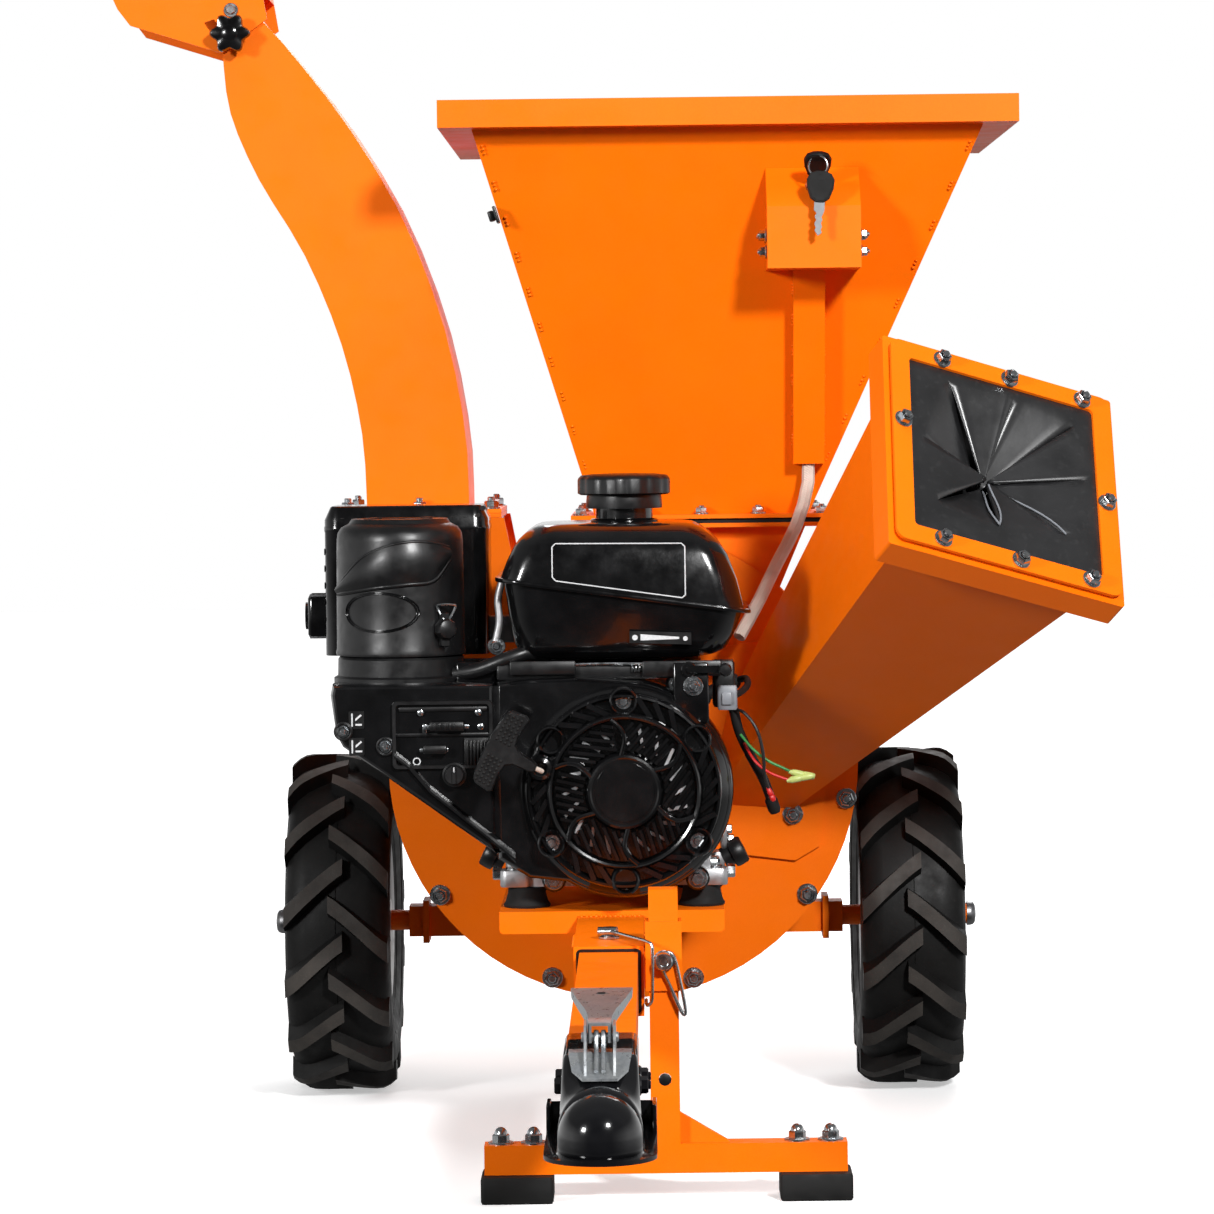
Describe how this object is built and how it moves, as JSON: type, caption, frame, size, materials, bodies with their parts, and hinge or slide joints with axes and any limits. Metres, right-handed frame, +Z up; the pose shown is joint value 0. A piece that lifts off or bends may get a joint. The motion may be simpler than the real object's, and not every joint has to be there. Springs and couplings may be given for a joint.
{
  "type": "wood chipper",
  "caption": "Towable wood chipper and shredder with a small petrol engine, a top hopper, a side chipping chute, a curved discharge chute, a parking stand and a ball coupler.",
  "frame": {"origin": "bottom centre of the whole machine's box, on the ground", "axes": "+X to the right seen from the tow coupler, +Y from the coupler towards the hopper end, +Z up"},
  "size_m": [0.9505, 1.621, 1.112],
  "materials": {
    "orange": "gloss orange paint",
    "steel": "bare machined steel",
    "cast": "bare die-cast aluminium",
    "zinc": "bright zinc plating",
    "rim": "silver-grey paint",
    "tyre": "moulded black tread rubber",
    "rubber": "matt black rubber",
    "black_paint": "gloss black paint",
    "black_plastic": "satin black moulded plastic",
    "tank": "gloss black paint",
    "braid": "grey-white woven sleeve"
  },
  "bodies": {
    "machine": {"drum_front_plate": "orange", "drum_rear_plate": "orange", "drum_band": "orange", "hopper_neck": "orange", "hopper": "orange", "chipper_chute": "orange", "flap_retainer": "orange", "discharge_collar": "orange", "discharge_chute": "orange", "stub_axle_left": "orange", "stub_axle_right": "orange", "tow_receiver": "orange", "tow_tongue": "orange", "stand_sleeve": "orange", "engine_shelf": "orange", "key_box": "orange", "muffler": "steel", "bearing_housing": "cast", "engine_block": "cast", "lever_bracket": "zinc", "hopper_gasket": "rubber", "flap_curtain": "rubber", "rubber_mount_front_left": "rubber", "rubber_mount_front_right": "rubber", "rubber_mount_back_left": "rubber", "rubber_mount_back_right": "rubber", "harness_lead": "rubber", "coupler": "black_paint", "blower_housing": "black_paint", "recoil_cover": "black_paint", "muffler_guard": "black_paint", "control_panel": "black_plastic", "air_filter_base": "black_plastic", "fuel_tank": "tank", "cable_sleeve": "braid"},
    "deflector_hood": {"deflector": "orange"},
    "tilt_knob": {"deflector_knob": "black_plastic"},
    "wheel_left": {"rim_left": "rim", "tyre_left": "tyre"},
    "wheel_right": {"rim_right": "rim", "tyre_right": "tyre"},
    "rotor": {"crankshaft": "steel", "rotor_disc": "steel", "flywheel": "cast"},
    "upper_hammer": {"hammer_upper": "steel"},
    "lower_hammer": {"hammer_lower": "steel"},
    "latch_lever": {"coupler_lever": "zinc"},
    "hitch_pin": {"tow_pin": "zinc"},
    "parking_stand": {"stand_leg": "orange", "foot_pad_left": "rubber", "foot_pad_right": "rubber"},
    "stand_lock_pin": {"stand_pin": "zinc"},
    "starter_handle": {"recoil_handle": "black_plastic"},
    "throttle": {"throttle_lever": "zinc"},
    "choke": {"choke_lever": "black_plastic"},
    "fuel_valve": {"fuel_lever": "black_plastic"},
    "stop_switch": {"engine_switch": "black_plastic"},
    "filler_cap": {"fuel_cap": "black_plastic"},
    "filter_cover": {"air_filter_cover": "black_plastic"},
    "key": {"ignition_key": "black_plastic"}
  },
  "joints": [
    {"name": "wheel_left_spin", "type": "hinge", "parent": "machine", "child": "wheel_left", "pos_m": [-0.2552, 0.5815, 0.168], "axis": [1, 0, 0], "continuous": true},
    {"name": "wheel_right_spin", "type": "hinge", "parent": "machine", "child": "wheel_right", "pos_m": [0.3048, 0.5815, 0.168], "axis": [1, 0, 0], "continuous": true},
    {"name": "rotor_spin", "type": "hinge", "parent": "machine", "child": "rotor", "pos_m": [0.0248, 0.4815, 0.332], "axis": [0, 1, 0], "continuous": true},
    {"name": "upper_hammer_swing", "type": "hinge", "parent": "rotor", "child": "upper_hammer", "pos_m": [0.0248, 0.5545, 0.47], "axis": [0, 1, 0], "continuous": true},
    {"name": "lower_hammer_swing", "type": "hinge", "parent": "rotor", "child": "lower_hammer", "pos_m": [0.0248, 0.5545, 0.194], "axis": [0, 1, 0], "continuous": true},
    {"name": "deflector_tilt", "type": "hinge", "parent": "machine", "child": "deflector_hood", "pos_m": [-0.3502, 0.5535, 1.071], "axis": [0, -1, 0], "range_deg": [0, 50]},
    {"name": "tilt_knob_turn", "type": "hinge", "parent": "machine", "child": "tilt_knob", "pos_m": [-0.3502, 0.4715, 1.047], "axis": [0, 1, 0], "continuous": true},
    {"name": "coupler_lever_lift", "type": "hinge", "parent": "machine", "child": "latch_lever", "pos_m": [0.0138, -0.7145, 0.227], "axis": [1, 0, 0], "range_deg": [0, 70]},
    {"name": "tow_pin_draw", "type": "slide", "parent": "machine", "child": "hitch_pin", "axis": [0, 0, 1], "range_m": [0, 0.08]},
    {"name": "stand_raise", "type": "slide", "parent": "machine", "child": "parking_stand", "axis": [0, 0, 1], "range_m": [0, 0.102]},
    {"name": "stand_pin_pull", "type": "slide", "parent": "machine", "child": "stand_lock_pin", "axis": [0, -1, 0], "range_m": [0, 0.02]},
    {"name": "starter_pull", "type": "slide", "parent": "machine", "child": "starter_handle", "axis": [-0.8761, 0, 0.4821], "range_m": [0, 0.25], "stiffness_N_per_m": 12},
    {"name": "throttle_swing", "type": "hinge", "parent": "machine", "child": "throttle", "pos_m": [0.0868, 0.1345, 0.44], "axis": [0, -1, 0], "range_deg": [0, 35]},
    {"name": "choke_slide", "type": "slide", "parent": "machine", "child": "choke", "axis": [-1, 0, 0], "range_m": [0, 0.025]},
    {"name": "fuel_valve_slide", "type": "slide", "parent": "machine", "child": "fuel_valve", "axis": [1, 0, 0], "range_m": [0, 0.014]},
    {"name": "stop_switch_turn", "type": "hinge", "parent": "machine", "child": "stop_switch", "pos_m": [-0.1252, 0.1315, 0.348], "axis": [0, 1, 0], "range_deg": [0, 60]},
    {"name": "fuel_cap_turn", "type": "hinge", "parent": "machine", "child": "filler_cap", "pos_m": [0.0298, 0.2515, 0.607], "axis": [0, 0, 1], "range_deg": [0, 90]},
    {"name": "air_filter_lift", "type": "slide", "parent": "machine", "child": "filter_cover", "axis": [0, 0, 1], "range_m": [0, 0.14]},
    {"name": "ignition_key_turn", "type": "hinge", "parent": "machine", "child": "key", "pos_m": [0.2148, 0.31659, 0.883], "axis": [0, -0.6871, 0.7266], "range_deg": [0, 90]}
  ]
}
